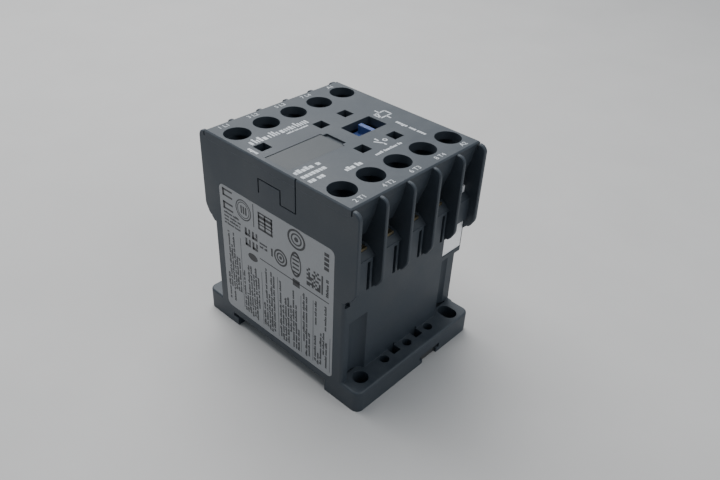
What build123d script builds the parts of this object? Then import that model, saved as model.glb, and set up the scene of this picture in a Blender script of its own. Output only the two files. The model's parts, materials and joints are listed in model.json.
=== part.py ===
from build123d import *
import os

# Mini contactor for a 35 mm rail: four poles and a coil, in millimetres.
# Origin: middle of the base plane. +X runs along the rail, +Y towards the line terminals,
# +Z away from the rail, out of the front face.

# ---- overall sizes ----
pitch = 9.0  # from one terminal column to the next
columns = 5  # four poles, then the coil
height = 57.0  # base plane to front face
flange_length = 58.0
flange_thickness = 6.4
body_length = 46.8  # lower body, along Y
face_length = 48.6  # front face, along Y
fin_length = 53.4  # over the barrier fins, along Y
seam_z = 31.6  # joint between the two housings
side_wall = 1.2
end_wall = 1.5

# ---- rail and panel fixing ----
rail_width = 35.0
rail_lip = 1.0
rail_depth = 3.5  # recess for the rail, up from the base plane
rail_hook = 1.2  # reach of each hook behind the rail's lip
hole_spacing_x = 35.0
hole_spacing_y = 50.0
hole_radius = 2.05
slot_length = 5.6
groove_radius = 3.5  # screw head clearance above each fixing hole
groove_top = 24.6
groove_skin = 1.0
pilot_radius = 1.3
pilot_side = 2.6
pilot_depth = 3.1
pilot_y = 25.0
pilot_inset = 0.65  # the square holes sit this much nearer the body
pilot_places = (-8.6, 0.2, 8.9)
pilot_square_places = (-4.2, 4.7)

# ---- terminals ----
row_y = 17.4  # screw rows of the poles
coil_row_y = 17.9
access_radius = 3.35
face_thickness = 2.2
partition = 1.0  # fins and the walls between columns
bar_z = 43.3  # top of the fixed contact bars
bar_thickness = 1.3
bar_width = 6.0
bar_outer_y = 22.6
bar_inner_y = 5.9
wire_gap = 2.9  # clamp plate lift when the screw is backed out
screw_radius = 1.7
screw_length = 8.5
screw_head_radius = 2.8
screw_head_height = 2.3
screw_clearance = 0.08
clamp_x = 6.2
clamp_y = 6.0
clamp_thickness = 1.2

# ---- wire entries and barriers ----
roof_lip = 0.5
roof_tip_z = bar_z + 2.5
entry_step = (21.9, bar_z - 0.2)
sill_slope = ((22.4, bar_z - 0.4), (24.1, bar_z - 1.9))
sill_y = 24.3
fin_edge = 0.22  # rounding along the barriers' free edges
corner_slot = 0.4  # between the face's corner and the end barrier
corner_slot_depth = 1.6
face_edge = 0.35

# ---- magnet and coil ----
magnet_x = -3.0
floor_thickness = 2.0
cushion_thickness = 1.0
core_length = 32.0
core_stack = 11.0
core_back = 5.0
leg_outer = 4.5
leg_centre = 8.0
pole_z = bar_z - 19.3
bobbin_wall = 0.9
bobbin_fit = 0.25
bobbin_top_z = pole_z - 0.6
bobbin_flange_x = 14.0
winding_build = 4.8
armature_thickness = 4.2
overtravel = 1.0
contact_gap = 2.9
air_gap = 0.1  # left over when the magnet is closed
core_pin_radius = 1.2
core_pin_reach = 4.2
ring_depth = 1.4
ring_wire = 0.8
armature_pin_radius = 1.0
cheek = 1.7
cheek_y = 3.4
coil_leg_y = (14.6, 15.4)
return_spring_x = 10.4
return_spring_radius = 2.2
return_spring_wire = 0.28

# ---- contacts and carrier ----
tip_side = 3.0
tip_thickness = 0.9
tip_y = 7.6
bridge_thickness = 1.0
bridge_width = 4.6
bridge_waist = 3.0
bridge_length = 19.4
tower_x = 5.8
tower_y = 5.2
tower_slot = 3.4
tower_cap = 1.0
spine_thickness = 3.5
spine_y = 8.0
carrier_clearance = 0.4
rib_x = 8.0
rib_width = 1.3
rib_y = (-2.9, 1.9)
rib_below_face = 0.3

# ---- front face features ----
window_x = (2.4, 12.5)
window_y = 3.05
marker_x = (-21.0, -3.5)
marker_y = 4.03
marker_depth = 0.6
marker_thickness = 0.5
nail_notch_x = 1.3  # beside the marker plate, to lift it out
nail_notch_y = 3.2
clip_hole = 3.2
clip_places = ((-18.0, 8.2), (0.2, 7.6), (9.1, 8.1), (-1.5, -7.9), (9.3, -8.4))
label_y = (-20.0, 20.2)
label_z = (5.8, 44.3)
label_thickness = 0.18
label_corner = 1.5

# ---- rail clip ----
clip_x = 5.5
clip_travel = 2.0
clip_wide = 8.0
clip_narrow = 5.6
clip_step_z = 1.4
clip_bottom_z = 0.3
clip_top_z = 2.7
clip_fit = 0.12
clip_outer_y = 28.4
clip_post_y = (-25.4, -24.2)  # the base's post that the spring pushes on
clip_slot_end = -19.5
clip_post_x = 1.2
clip_slot_x = 1.4

# ---- worked out from the sizes above ----
width = columns * pitch
half_width = width / 2
side_inner = half_width - side_wall
column_x = [pitch * (i - (columns - 1) / 2) for i in range(columns)]
pole_x = column_x[:-1]
coil_x = column_x[-1]
face_y = face_length / 2
body_y = body_length / 2
fin_y = fin_length / 2
chamber_top = height - face_thickness
floor_z = rail_depth + floor_thickness
core_z = floor_z + cushion_thickness
travel = contact_gap + overtravel
armature_z = pole_z + travel + air_gap
spine_z = armature_z + armature_thickness + 0.05
spine_top = spine_z + spine_thickness
bridge_z = bar_z + tip_thickness + contact_gap + tip_thickness
tower_top = chamber_top - carrier_clearance
slot_top = tower_top - tower_cap
screw_chamber_y = (13.9, 20.6)
arc_chamber_y = 13.0
cavity_y = body_y - end_wall - 0.1
ear_x = (coil_x - pitch / 2 + 0.6, coil_x + pitch / 2 - 0.7)
ear_y = (body_y - 1.2, body_y - 0.2)
ear_z = (seam_z - 5.6, seam_z + 3.4)
arm_z = (seam_z - 5.6, max(seam_z - 4.2, bobbin_top_z))
stack_x = (magnet_x - core_stack / 2, magnet_x + core_stack / 2)
core_pin_z = core_z + core_back / 2
core_pin_x = (stack_x[0] - core_pin_reach, stack_x[1] + core_pin_reach)
armature_pin_z = armature_z + armature_thickness / 2
armature_pin_x = (stack_x[0] - cheek, stack_x[1] + cheek)
flange_y = core_length / 2 - leg_outer - 0.4
winding_z = (core_z + core_back + 0.3 + bobbin_wall, bobbin_top_z - bobbin_wall)
coil_post_x = (ear_x[1] - 2.2, ear_x[1] - 0.6)
coil_post_y = (ear_y[0] - 0.8, ear_y[0] + 0.4)
coil_post_z = bar_z + 1.1
clip_slot_y = (clip_post_y[0] - 0.1, clip_slot_end)
SIDES = (-1, 1)


def block(x, y, z):
    """A box between two places on each axis."""
    size = [b - a for a, b in (x, y, z)]
    middle = [(a + b) / 2 for a, b in (x, y, z)]
    return Pos(*middle) * Box(*size)


def rod(x, y, z, radius):
    """A round bar along Z between two heights."""
    return Pos(x, y, (z[0] + z[1]) / 2) * Cylinder(radius, z[1] - z[0])


def bar_along_x(x, y, z, radius):
    """A round bar along X between two places."""
    return Pos((x[0] + x[1]) / 2, y, z) * Rot(0, 90, 0) * Cylinder(radius, x[1] - x[0])


def along_x(points, x):
    """A solid with this (Y, Z) outline, from x[0] to x[1]."""
    outline = make_face(Plane.YZ.offset(x[0]) * Polyline(*points, close=True))
    return extrude(outline, amount=x[1] - x[0], dir=(1, 0, 0))


def on_side(side, low, high):
    """A Y range on one side of the middle, from two distances."""
    return (low, high) if side > 0 else (-high, -low)


def column_span(x):
    """The clear space of one terminal column, inside the fins or the end wall."""
    return (
        max(x - pitch / 2 + partition / 2, -side_inner),
        min(x + pitch / 2 - partition / 2, side_inner),
    )


def row_of(x):
    """The distance of this column's screws from the middle."""
    return coil_row_y if x == coil_x else row_y


def coil_spring(mean_radius, wire_radius, length, turns):
    """A spring of round wire that stands on Z = 0, with its wire inside the length."""
    rise = length - 2 * wire_radius
    path = Helix(pitch=rise / turns, height=rise, radius=mean_radius)
    wire = Plane(origin=path @ 0, z_dir=path % 0) * Circle(wire_radius)
    return Pos(0, 0, wire_radius) * sweep(wire, path=path, is_frenet=True)


def write(name, shape):
    """Each node is one STEP file."""
    export_step(shape, f"parts/{name}.step")


# ---------------------------------------------------------------- base housing
def rail_recess():
    """The rail's space across the base, with the undercut behind the fixed hook."""
    clip_side = -rail_width / 2 - 0.1
    deep = rail_width / 2 + 0.7
    lip_z = rail_depth - rail_lip - 0.2
    points = [
        (clip_side, -1),
        (clip_side, rail_depth),
        (deep, rail_depth),
        (deep, lip_z),
        (rail_width / 2 - rail_hook, lip_z),
        (rail_width / 2 - rail_hook, -1),
    ]
    return along_x(points, (-width, width))


def clip_section(extra, bottom, y):
    """The T-shaped section of the rail clip, larger all round by extra."""
    narrow = clip_narrow / 2 + extra
    wide = clip_wide / 2 + extra
    stem = block((clip_x - narrow, clip_x + narrow), y, (bottom, clip_step_z))
    head = block((clip_x - wide, clip_x + wide), y, (clip_step_z - extra, clip_top_z + extra))
    return stem + head


def driver_groove(x, side, radius, top):
    """Room above one fixing hole for the screw's head; the slots' grooves are open to the side."""
    y = side * hole_spacing_y / 2
    reach = (slot_length / 2 - hole_radius) if x > 0 else 0.0
    groove = rod(x, y, (flange_thickness, top), radius)
    if reach:
        ys = (y - reach, y + reach)
        groove += rod(x, ys[0], (flange_thickness, top), radius)
        groove += rod(x, ys[1], (flange_thickness, top), radius)
        groove += block((x - radius, x + radius), ys, (flange_thickness, top))
        groove += block((x, half_width + 1), (y - radius, y + radius), (flange_thickness, top))
    return groove


def fixing_hole(x, side):
    """A round hole on the left, a slot along Y on the right."""
    y = side * hole_spacing_y / 2
    z = (-1, flange_thickness + 1)
    if x < 0:
        return rod(x, y, z, hole_radius)
    reach = slot_length / 2 - hole_radius
    hole = rod(x, y - reach, z, hole_radius) + rod(x, y + reach, z, hole_radius)
    return hole + block((x - hole_radius, x + hole_radius), (y - reach, y + reach), z)


def pilot_holes(side):
    """The row of small blind holes between the fixing holes."""
    z = (flange_thickness - pilot_depth, flange_thickness + 1)
    y = side * pilot_y
    cuts = [rod(x, y, z, pilot_radius) for x in pilot_places]
    half = pilot_side / 2
    inner = side * (pilot_y - pilot_inset)
    for x in pilot_square_places:
        cuts.append(block((x - half, x + half), (inner - half, inner + half), z))
    return cuts


def base_housing():
    """Flange, lower walls, floor and the seats for the magnet."""
    flange = block((-half_width, half_width), (-flange_length / 2, flange_length / 2), (0, flange_thickness))
    flange = fillet(flange.edges().filter_by(Axis.Z), 2.0)
    flange = fillet(flange.faces().sort_by(Axis.Z)[-1].edges(), 0.6)
    walls = block((-half_width, half_width), (-body_y, body_y), (flange_thickness - 1, seam_z))
    walls = fillet(walls.edges().filter_by(Axis.Z), 1.0)
    side_skirt = block((-half_width, half_width), (-body_y + 1.5, body_y - 1.5), (0, seam_z))
    shell = flange + walls + side_skirt

    cavity = block((-side_inner + 0.4, side_inner - 0.4), (-cavity_y, cavity_y), (floor_z, seam_z + 1))
    for x in (-hole_spacing_x / 2, hole_spacing_x / 2):
        for side in SIDES:
            cavity -= driver_groove(x, side, groove_radius + groove_skin, groove_top + groove_skin)
    shell -= cavity
    shell -= rail_recess()
    for x in (-hole_spacing_x / 2, hole_spacing_x / 2):
        for side in SIDES:
            shell -= driver_groove(x, side, groove_radius, groove_top)
            shell -= fixing_hole(x, side)
    for side in SIDES:
        for cut in pilot_holes(side):
            shell -= cut
        ear_room = on_side(side, cavity_y - 0.1, body_y + 1)
        shell -= block((ear_x[0] - 0.1, ear_x[1] + 0.1), ear_room, (ear_z[0] - 0.1, seam_z + 1))
        notch = on_side(side, body_y - 0.9, body_y + 1)
        shell -= block((-half_width + 0.4, -half_width + 1.9), notch, (seam_z - 1.8, seam_z + 1))
    shell -= clip_section(clip_fit, -1, (-flange_length, -rail_width / 2 + 1))
    post_z = (clip_step_z - 0.9, clip_top_z + clip_fit + 0.2)
    shell += block((clip_x - clip_post_x, clip_x + clip_post_x), clip_post_y, post_z)
    shell -= label_recess()
    for side in SIDES:
        post_x = magnet_x + side * (core_stack / 2 + 3.2)
        post = block((post_x - 1.5, post_x + 1.5), (-3, 3), (floor_z - 0.1, core_z + core_back - 0.5))
        shell += post
    shell -= bar_along_x(core_pin_x, 0, core_pin_z, core_pin_radius + 0.05)
    return shell


# ---------------------------------------------------------------- side label
def label_outline(grow, z):
    """The label's rounded rectangle on the side wall."""
    y0, y1 = label_y
    z0, z1 = label_z
    sketch = Pos((y0 + y1) / 2, (z0 + z1) / 2) * RectangleRounded(
        y1 - y0 + 2 * grow, z1 - z0 + 2 * grow, label_corner
    )
    return Plane.YZ.offset(z) * sketch


def label_recess():
    """The shallow seat of the label."""
    return extrude(label_outline(0.06, -half_width - 1), amount=1 + label_thickness + 0.02)


def side_label():
    """The rating label, level with the side wall."""
    return extrude(label_outline(0, -half_width), amount=label_thickness)


# ---------------------------------------------------------------- contact housing
def chamber_y(x):
    """The screw chamber's two walls, as distances from the middle."""
    shift = row_of(x) - row_y
    return screw_chamber_y[0] + shift, screw_chamber_y[1] + shift


def wire_entry(x, side):
    """The funnel that a wire goes in by: a sloping roof above, a sloping sill below."""
    wall = chamber_y(x)[1]
    points = [
        (face_y + 1.0, height - 0.5),
        (face_y - 0.05, height - 0.5),
        (23.2, height - 5.3),
        (22.2, height - 8.0),
        (wall + roof_lip, roof_tip_z),
        (wall - 0.1, roof_tip_z),
        (wall - 0.1, bar_z),
        (entry_step[0] - 0.2, bar_z),
        entry_step,
        sill_slope[0],
        sill_slope[1],
        (face_y + 1.0, bar_z - 2.1),
    ]
    return along_x([(side * y, z) for y, z in points], column_span(x))


def column_cuts(x, side):
    """Everything that is hollow in one terminal column on one side."""
    low, high = column_span(x)
    row = side * row_of(x)
    cuts = [wire_entry(x, side)]
    cuts.append(block((low, high), on_side(side, *chamber_y(x)), (bar_z, chamber_top + 1)))
    half = bar_width / 2 + 0.05
    inner = bar_inner_y - 0.5 if x != coil_x else chamber_y(x)[0]
    seat_y = on_side(side, inner, bar_outer_y + 0.05)
    cuts.append(block((x - half, x + half), seat_y, (bar_z - bar_thickness, bar_z + 0.1)))
    cuts.append(rod(x, row, (bar_z - 3.2, bar_z - bar_thickness + 0.1), screw_radius + 0.5))
    pocket_x = (low + 0.3, high - 0.3)
    pocket_z = (seam_z - 1, bar_z - 2.8)
    cuts.append(block(pocket_x, on_side(side, 7.2, body_y - 0.6), pocket_z))
    if x != coil_x:
        slit_z = (seam_z - 1, bar_z - 2.8)
        cuts.append(block((x + 1.6, x + 2.6), on_side(side, body_y - 1, face_y + 1), slit_z))
        step_y = on_side(side, body_y - 0.4, face_y + 1)
        cuts.append(block((x + 3.3, high), step_y, (seam_z - 1, bar_z - 2.1)))
    return cuts


def column_front(side):
    """The lower front of the columns leans back to the lower body."""
    points = [
        (side * (body_y - 0.05), seam_z),
        (side * (body_y - 0.05), seam_z - 1),
        (side * (face_y + 1), seam_z - 1),
        (side * (face_y + 1), seam_z + 1.0),
        (side * face_y, seam_z + 1.0),
    ]
    return along_x(points, (-width, width))


def fin(x, thickness, side):
    """A barrier between two columns, or the end of a side wall, with its free edges broken."""
    top = height - 0.4
    corner = 1.8
    points = [
        (side * (sill_y - 2.0), seam_z + 1.0),
        (side * (fin_y - 1.9), seam_z + 1.1),
        (side * (fin_y - 1.2), seam_z + 1.8),
        (side * (fin_y - 0.2), seam_z + 3.6),
        (side * fin_y, seam_z + 4.6),
        (side * fin_y, top),
        (side * (sill_y - 2.0), top),
    ]
    shape = along_x(points, (x - thickness / 2, x + thickness / 2))
    edges = shape.edges().filter_by(Axis.X)
    edge = edges.sort_by(lambda e: side * e.center().Y + e.center().Z)[-1]
    shape = fillet(edge, corner)
    flat_sides = shape.faces().filter_by(Axis.X)
    rims = [e for face in flat_sides for e in face.edges() if side * e.center().Y > sill_y - 1.9]
    return chamfer(rims, fin_edge)


def latch_seam(side):
    """The stepped parting line of the snap latch, cut into one side wall."""
    x = (half_width - 0.35, half_width + 1) if side > 0 else (-half_width - 1, -half_width + 0.35)
    line = 0.22
    high = height - 5.1
    low = height - 9.0
    cuts = [
        block(x, (4.9 - line, 4.9 + line), (low, high)),
        block(x, (-2.6 - line, 4.9), (high - line, high + line / 2)),
        block(x, (-2.6 - line, -2.6 + line), (low, high)),
        block(x, (-7.7, -2.6), (low - line / 2, low + line)),
        block(x, (-7.7 - line, -7.7 + line), (low, height + 1)),
    ]
    return cuts


def driver_hole(x, side):
    """The round hole in the front face above one terminal screw."""
    return rod(x, side * row_of(x), (chamber_top - 1, height + 1), access_radius)


def face_cuts():
    """Window, clip holes and marker seat in the front face."""
    z = (chamber_top - 1, height + 1)
    cuts = [block(window_x, (-window_y, window_y), z)]
    half = clip_hole / 2
    for x, y in clip_places:
        cuts.append(block((x - half, x + half), (y - half, y + half), z))
    seat_z = (height - marker_depth, height + 1)
    cuts.append(block(marker_x, (-marker_y, marker_y), seat_z))
    notch_x = (marker_x[1] - 0.1, marker_x[1] + nail_notch_x)
    cuts.append(block(notch_x, (-nail_notch_y, nail_notch_y), seat_z))
    return cuts


def front_cover():
    """The front face: driver holes, window, clip holes and the marker's seat."""
    cover = block((-half_width, half_width), (-face_y, face_y), (chamber_top, height))
    cover = chamfer(cover.faces().sort_by(Axis.Z)[-1].edges(), face_edge)
    cuts = face_cuts()
    for side in SIDES:
        cuts += latch_seam(side)
        for x in column_x:
            cuts += [wire_entry(x, side), driver_hole(x, side)]
    for cut in cuts:
        cover -= cut
    return cover


def contact_housing():
    """Upper moulding: terminal columns, arc chambers and barrier fins."""
    body = block((-half_width, half_width), (-face_y, face_y), (seam_z, chamber_top))
    for side in SIDES:
        body -= column_front(side)
        for i in range(1, columns):
            body += fin(column_x[i] - pitch / 2, partition, side)
        for end in SIDES:
            body += fin(end * (half_width - side_wall / 2), side_wall, side)
        slot_y = on_side(side, face_y, face_y + corner_slot)
        for end in SIDES:
            slot_x = on_side(end, side_inner - 0.1, half_width + 1)
            body -= block(slot_x, slot_y, (height - corner_slot_depth, height + 1))
    body -= block((-width, width), (-face_y, face_y), (chamber_top, height + 1))
    for x in column_x:
        for side in SIDES:
            for cut in column_cuts(x, side):
                body -= cut
    for x in pole_x:
        arc_z = (bar_z - bar_thickness, chamber_top + 1)
        body -= block(column_span(x), (-arc_chamber_y, arc_chamber_y), arc_z)
    stack_room = (stack_x[0] - 0.6, stack_x[1] + 0.6)
    stack_y = core_length / 2 + 0.6
    body -= block(stack_room, (-stack_y, stack_y), (seam_z - 1, spine_z + 0.3))
    carrier_room = (-side_inner, pole_x[-1] + tower_x / 2 + 0.5)
    spine_room = (-spine_y / 2 - 0.6, spine_y / 2 + 0.6)
    body -= block(carrier_room, spine_room, (seam_z - 1, bar_z - bar_thickness + 0.1))
    for side in SIDES:
        for cut in latch_seam(side):
            body -= cut
        ear_room = on_side(side, ear_y[0] - 0.1, face_y + 1)
        body -= block((ear_x[0] - 0.1, ear_x[1] + 0.1), ear_room, (seam_z - 1, ear_z[1] + 0.1))
        post_room = on_side(side, coil_post_y[0] - 0.1, coil_post_y[1] + 0.1)
        body -= block((coil_post_x[0] - 0.1, coil_post_x[1] + 0.1), post_room, (seam_z, coil_post_z + 0.1))
        leg_room = on_side(side, coil_leg_y[0] - 0.1, coil_leg_y[1] + 0.1)
        body -= block((coil_x - 1.2, coil_x + 1.2), leg_room, (seam_z, bar_z - bar_thickness + 0.1))
    return body - label_recess()


def half_of(shape, side):
    """One half of a moulding made in two halves that meet in the middle."""
    return shape & block((-width, width), on_side(side, 0, fin_length), (0, height))


# ---------------------------------------------------------------- magnet and coil
def ring_slot_y(side):
    """Where the shading ring's inner bar lies in the outer pole face."""
    middle = core_length / 2 - leg_outer / 2
    return on_side(side, middle - ring_wire / 2, middle + ring_wire / 2)


def fixed_core():
    """The E of laminated steel, with a slot in each outer pole face."""
    half = core_length / 2
    core = block(stack_x, (-half, half), (core_z, core_z + core_back))
    for side in SIDES:
        core += block(stack_x, on_side(side, half - leg_outer, half), (core_z, pole_z))
    core += block(stack_x, (-leg_centre / 2, leg_centre / 2), (core_z, pole_z))
    for side in SIDES:
        core -= block(stack_x, ring_slot_y(side), (pole_z - ring_depth, pole_z + 1))
    return core - bar_along_x(core_pin_x, 0, core_pin_z, core_pin_radius + 0.05)


def shading_rings():
    """A copper ring round the outer half of each outer pole."""
    rings = []
    for side in SIDES:
        inner, outer = sorted(abs(y) for y in ring_slot_y(side))
        far = core_length / 2 + 0.1
        x = (stack_x[0] - ring_wire - 0.1, stack_x[1] + ring_wire + 0.1)
        z = (pole_z - ring_depth, pole_z - ring_depth + 1.2)
        ring = block(x, on_side(side, inner, far + ring_wire), z)
        ring -= block((stack_x[0] - 0.1, stack_x[1] + 0.1), on_side(side, outer, far), z)
        rings.append(ring)
    return Compound(children=rings)


def armature():
    """The moving steel stack that the magnet pulls down."""
    half = core_length / 2
    plate = block(stack_x, (-half, half), (armature_z, armature_z + armature_thickness))
    return plate - bar_along_x(stack_x, 0, armature_pin_z, armature_pin_radius)


def bobbin_tube():
    """Outer size of the winding tube round the centre leg: X and Y ranges."""
    half_x = core_stack / 2 + bobbin_fit + bobbin_wall
    half_y = leg_centre / 2 + bobbin_fit + bobbin_wall
    return (magnet_x - half_x, magnet_x + half_x), (-half_y, half_y)


def coil_bobbin():
    """White moulding: winding tube, two flanges and the arms that carry the coil terminals."""
    tube_x, tube_y = bobbin_tube()
    flange_x = (magnet_x - bobbin_flange_x, magnet_x + bobbin_flange_x)
    bottom = winding_z[0] - bobbin_wall
    bobbin = block(tube_x, tube_y, (bottom, bobbin_top_z))
    bobbin += block(flange_x, (-flange_y, flange_y), (bottom, winding_z[0]))
    bobbin += block(flange_x, (-flange_y, flange_y), (winding_z[1], bobbin_top_z))
    arm_x = (ear_x[0] + 0.1, side_inner - 0.6)
    bobbin += block((flange_x[1] - 1, arm_x[1]), (-flange_y, flange_y), (winding_z[1], bobbin_top_z))
    bobbin += block(arm_x, (-flange_y, flange_y), (winding_z[1], arm_z[1]))
    for side in SIDES:
        bobbin += block(arm_x, on_side(side, flange_y - 1, ear_y[1]), arm_z)
        bobbin += block(ear_x, on_side(side, *ear_y), ear_z)
        bobbin += block(coil_post_x, on_side(side, *coil_post_y), (arm_z[0], coil_post_z))
        leg_room = on_side(side, coil_leg_y[0] - 0.02, coil_leg_y[1] + 0.02)
        bobbin -= block((coil_x - 1.02, coil_x + 1.02), leg_room, (arm_z[0] + 0.4, arm_z[1] + 1))
        peg = rod(magnet_x + side * return_spring_x, 0, (bobbin_top_z - 0.1, bobbin_top_z + 1.2), 1.5)
        bobbin += peg
    bore_x = (stack_x[0] - bobbin_fit, stack_x[1] + bobbin_fit)
    bore_y = (-leg_centre / 2 - bobbin_fit, leg_centre / 2 + bobbin_fit)
    return bobbin - block(bore_x, bore_y, (bottom - 1, bobbin_top_z + 1))


def coil_winding():
    """The wound copper, as one solid ring between the flanges."""
    tube_x, tube_y = bobbin_tube()
    outer_x = (tube_x[0] - winding_build, tube_x[1] + winding_build)
    outer_y = (tube_y[0] - winding_build, tube_y[1] + winding_build)
    coil = block(outer_x, outer_y, winding_z)
    coil = fillet(coil.edges().filter_by(Axis.Z), 3.0)
    return coil - block(tube_x, tube_y, (0, height))


def core_cushion():
    """The rubber pad between the core and the housing floor."""
    half = core_length / 2
    return block(stack_x, (-half, half), (floor_z, core_z))


def core_pin():
    """The pin that holds the core in its seats."""
    return bar_along_x(core_pin_x, 0, core_pin_z, core_pin_radius)


# ---------------------------------------------------------------- carrier and contacts
def contact_carrier():
    """Blue moulding: spine, one tower for each pole, cheeks for the armature, indicator rib."""
    spine_x = (-side_inner + carrier_clearance, pole_x[-1] + tower_x / 2)
    carrier = block(spine_x, (-spine_y / 2, spine_y / 2), (spine_z, spine_top))
    for x in pole_x:
        span = (x - tower_x / 2, x + tower_x / 2)
        carrier += block(span, (-tower_y / 2, tower_y / 2), (spine_top, tower_top))
        slot = (x - tower_slot / 2, x + tower_slot / 2)
        carrier -= block(slot, (-tower_y, tower_y), (bridge_z - 0.02, slot_top))
    rib_span = (rib_x - rib_width / 2, rib_x + rib_width / 2)
    carrier += block(rib_span, rib_y, (tower_top - 0.1, height - rib_below_face))
    for side in SIDES:
        inner = core_stack / 2 + 0.05
        outer = core_stack / 2 + cheek
        x = on_side(side, inner, outer)
        cheek_x = (magnet_x + x[0], magnet_x + x[1])
        carrier += block(cheek_x, (-cheek_y, cheek_y), (armature_z + 0.6, spine_z + 0.1))
        peg_x = magnet_x + side * return_spring_x
        carrier += rod(peg_x, 0, (spine_z - 1.0, spine_z + 0.1), 1.5)
    return carrier - bar_along_x(armature_pin_x, 0, armature_pin_z, armature_pin_radius)


def armature_pin():
    """The pin that ties the armature to the carrier's cheeks."""
    return bar_along_x(armature_pin_x, 0, armature_pin_z, armature_pin_radius)


def moving_bridge(x):
    """The brass bridge of one pole: wide ends, narrow where it passes through the tower."""
    z = (bridge_z, bridge_z + bridge_thickness)
    half = bridge_width / 2
    bridge = block((x - half, x + half), (-bridge_length / 2, bridge_length / 2), z)
    bridge = fillet(bridge.edges().filter_by(Axis.Z), 1.0)
    waist_y = (-tower_y / 2 - 0.4, tower_y / 2 + 0.4)
    for side in SIDES:
        gap = on_side(side, bridge_waist / 2, half + 1)
        bridge -= block((x + gap[0], x + gap[1]), waist_y, z)
    return bridge


def tip(x, side, z):
    """One square contact tip."""
    half = tip_side / 2
    y = on_side(side, tip_y - half, tip_y + half)
    return block((x - half, x + half), y, z)


def bridge_tips(x):
    """The two silver tips under one bridge."""
    z = (bridge_z - tip_thickness, bridge_z)
    return Compound(children=[tip(x, side, z) for side in SIDES])


def fixed_tips():
    """The silver tips on the eight fixed bars."""
    z = (bar_z, bar_z + tip_thickness)
    return Compound(children=[tip(x, side, z) for x in pole_x for side in SIDES])


def contact_spring(x):
    """The spring that presses one bridge down."""
    bottom = bridge_z + bridge_thickness
    return Pos(x, 0, bottom) * coil_spring(1.2, 0.2, slot_top - bottom, 5)


def return_springs():
    """The two springs that lift the carrier."""
    bottom = bobbin_top_z
    length = spine_z - bottom
    spring = coil_spring(return_spring_radius, return_spring_wire, length, 5)
    places = [magnet_x + side * return_spring_x for side in SIDES]
    return Compound(children=[Pos(x, 0, bottom) * spring for x in places])


# ---------------------------------------------------------------- terminals
def threaded_hole(x, side):
    """The screw's hole through a terminal bar."""
    z = (bar_z - bar_thickness - 1, bar_z + 1)
    return rod(x, side * row_of(x), z, screw_radius + screw_clearance)


def fixed_contact(x, side):
    """One terminal bar, from the wire entry to its contact tip."""
    half = bar_width / 2
    z = (bar_z - bar_thickness, bar_z)
    bar = block((x - half, x + half), on_side(side, bar_inner_y, bar_outer_y), z)
    return bar - threaded_hole(x, side)


def coil_terminal(side):
    """One of the coil's terminal plates with its leg down to the bobbin."""
    half = bar_width / 2
    z = (bar_z - bar_thickness, bar_z)
    plate = block((coil_x - half, coil_x + half), on_side(side, coil_leg_y[0], coil_post_y[0] - 0.2), z)
    leg = block((coil_x - 1, coil_x + 1), on_side(side, *coil_leg_y), (arm_z[0] + 0.4, bar_z))
    return plate + leg - threaded_hole(coil_x, side)


def clamp_plate(x, side):
    """The plate under the screw's head, backed out to its full lift."""
    bottom = bar_z + wire_gap
    row = side * row_of(x)
    plate = block(
        (x - clamp_x / 2, x + clamp_x / 2),
        (row - clamp_y / 2, row + clamp_y / 2),
        (bottom, bottom + clamp_thickness),
    )
    plate = fillet(plate.edges().filter_by(Axis.Z), 0.5)
    return plate - rod(x, row, (bottom - 1, bottom + clamp_thickness + 1), screw_radius + screw_clearance)


def terminal_screw(x, side):
    """A pan head screw with a crossed slot."""
    under_head = bar_z + wire_gap + clamp_thickness + 0.02
    top = under_head + screw_head_height
    row = side * row_of(x)
    head = rod(x, row, (under_head, top), screw_head_radius)
    head = fillet(head.faces().sort_by(Axis.Z)[-1].edges(), 0.7)
    screw = head + rod(x, row, (under_head - screw_length, under_head + 0.1), screw_radius)
    z = (top - 1.1, top + 1)
    screw -= block((x - 2.0, x + 2.0), (row - 0.4, row + 0.4), z)
    return screw - block((x - 0.4, x + 0.4), (row - 2.0, row + 2.0), z)


# ---------------------------------------------------------------- small pieces
def marker_plate():
    """The blank plate in the front face's seat."""
    x = (marker_x[0] + 0.1, marker_x[1] - 0.1)
    y = (-marker_y + 0.1, marker_y - 0.1)
    bottom = height - marker_depth
    return block(x, y, (bottom, bottom + marker_thickness))


def din_clip():
    """The sliding clip, its hook behind the rail's lower lip."""
    hook_y = -rail_width / 2 + rail_hook
    thick_y = (-clip_outer_y, -rail_width / 2 - 0.6)
    clip = clip_section(0, clip_bottom_z, thick_y)
    tongue_z = (clip_bottom_z, rail_depth - rail_lip - 0.3)
    half = clip_narrow / 2
    clip += block((clip_x - half, clip_x + half), (thick_y[1] - 0.5, hook_y), tongue_z)
    slot = (clip_x - clip_slot_x, clip_x + clip_slot_x)
    return clip - block(slot, clip_slot_y, (-1, rail_depth))


def din_clip_spring():
    """The spring that pushes the clip towards the rail."""
    length = clip_slot_y[1] - clip_post_y[1]
    spring = coil_spring(0.85, 0.16, length, 6)
    return Pos(clip_x, clip_post_y[1], 1.5) * Rot(-90, 0, 0) * spring


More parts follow.
